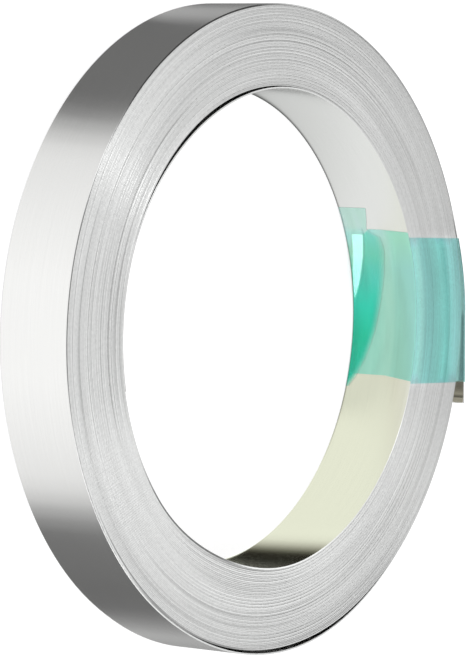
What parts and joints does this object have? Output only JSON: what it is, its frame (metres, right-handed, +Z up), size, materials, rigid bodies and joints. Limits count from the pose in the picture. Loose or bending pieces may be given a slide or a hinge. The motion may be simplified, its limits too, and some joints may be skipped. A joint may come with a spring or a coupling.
{
  "type": "roll of nickel-plated steel strip",
  "caption": "Coil of thin bright nickel-plated steel strip wound on itself round an open bore, its straight free end held by one wrap of green translucent tape.",
  "frame": {"origin": "on the axis of the bore, on the floor that the roll lies on", "axes": "+Z up along the bore, out of the front end; +X from the axis to the place where the free end leaves the coil; the free end points along -Y"},
  "size_m": [0.0633, 0.0631, 0.0082],
  "materials": {
    "nickel": "bright nickel plate over rolled steel, fine lines along the strip",
    "tape": "green translucent adhesive film, glossy and slightly wrinkled"
  },
  "bodies": {
    "root": {"coil": "nickel", "tape": "tape"}
  },
  "joints": []
}
